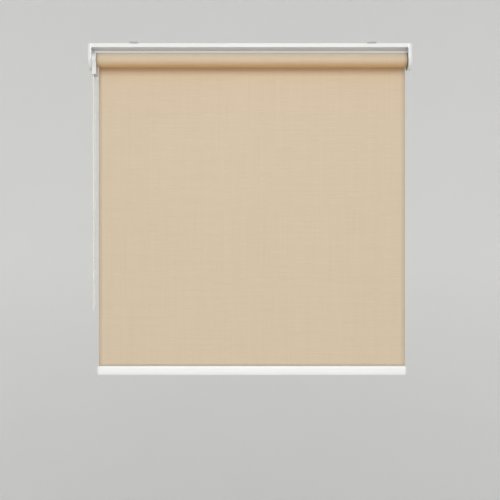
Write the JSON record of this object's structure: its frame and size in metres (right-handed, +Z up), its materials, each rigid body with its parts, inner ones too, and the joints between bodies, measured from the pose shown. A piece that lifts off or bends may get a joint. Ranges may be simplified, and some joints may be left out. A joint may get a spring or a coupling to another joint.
{
  "type": "roller blind",
  "caption": "Window roller blind: woven linen-look fabric on a clip-in head rail, worked by a bead chain on the left, with a slim oval bottom bar.",
  "frame": {"origin": "midway between the two ceiling screws, on the ceiling plane that the clips press against", "axes": "+X along the roll to the viewer's right, +Y away from the room toward the window, +Z up"},
  "size_m": [0.8, 0.0542, 0.8304],
  "materials": {
    "rail_white": "satin powder coat",
    "cover_white": "fine satin moulding",
    "guard_white": "fine satin moulding",
    "bead_white": "smooth moulded beads",
    "chain_string": "twisted polyester string",
    "latch_grey": "plain moulding",
    "zinc_steel": "bright zinc plate",
    "spring_steel": "drawn spring wire",
    "bracket_steel": "zinc-plated sheet",
    "nylon_white": "natural nylon",
    "core_grey": "glass-filled nylon",
    "tube_aluminium": "mill finish",
    "cloth": "plain weave with slubs, linen look",
    "bar_white": "satin powder coat",
    "cap_white": "satin moulding"
  },
  "bodies": {
    "frame": {"head_rail": "rail_white", "left_ceiling_clip": "zinc_steel", "right_ceiling_clip": "zinc_steel", "left_clip_springs": "spring_steel", "right_clip_springs": "spring_steel", "left_bracket": "bracket_steel", "right_bracket": "bracket_steel", "left_bracket_cover": "cover_white", "right_bracket_cover": "cover_white", "bracket_screws": "zinc_steel", "chain_guard": "guard_white", "drive_spindle": "nylon_white", "spindle_screw": "zinc_steel", "wrap_springs": "spring_steel", "idle_bush": "nylon_white", "fabric_drop": "cloth", "chain_string": "chain_string", "chain_beads": "bead_white"},
    "left_latch": {"left_clip_latch": "latch_grey"},
    "right_latch": {"right_clip_latch": "latch_grey"},
    "chain_wheel": {"sprocket": "nylon_white"},
    "roller": {"drive_core": "core_grey", "roller_tube": "tube_aluminium", "fabric_spline": "nylon_white", "fabric_roll": "cloth", "idle_plug": "core_grey", "idle_spring": "spring_steel", "spring_seat": "core_grey"},
    "sprung_pin": {"idle_pin": "nylon_white"},
    "bottom_rail": {"bottom_bar": "bar_white", "hem_spline": "cloth", "left_bar_cap": "cap_white", "right_bar_cap": "cap_white"}
  },
  "joints": [
    {"name": "roller_spin", "type": "hinge", "parent": "frame", "child": "roller", "pos_m": [0, 0, -0.042], "axis": [1, 0, 0], "range_deg": [-664.62, 2298.46]},
    {"name": "chain_wheel_spin", "type": "hinge", "parent": "frame", "child": "chain_wheel", "pos_m": [0, 0, -0.042], "axis": [1, 0, 0], "range_deg": [-664.63, 2298.47], "deforming": ["chain_string", "chain_beads"]},
    {"name": "blind_travel", "type": "slide", "parent": "frame", "child": "bottom_rail", "axis": [0, 0, 1], "range_m": [-0.2088, 0.7221], "deforming": ["fabric_drop"]},
    {"name": "pin_push", "type": "slide", "parent": "roller", "child": "sprung_pin", "axis": [-1, 0, 0], "range_m": [0, 0.008], "stiffness_N_per_m": 750, "springref_m": -0.008, "deforming": ["idle_spring"]},
    {"name": "left_latch_push", "type": "slide", "parent": "frame", "child": "left_latch", "axis": [0, 1, 0], "range_m": [0, 0.003], "stiffness_N_per_m": 1300, "springref_m": -0.0015, "deforming": ["left_clip_springs"]},
    {"name": "right_latch_push", "type": "slide", "parent": "frame", "child": "right_latch", "axis": [0, 1, 0], "range_m": [0, 0.003], "stiffness_N_per_m": 1300, "springref_m": -0.0015, "deforming": ["right_clip_springs"]}
  ],
  "couplings": [
    {"joint": "chain_wheel_spin", "follows": "roller_spin", "ratio": 1},
    {"joint": "blind_travel", "follows": "roller_spin", "m_per_rad": 0.018}
  ]
}
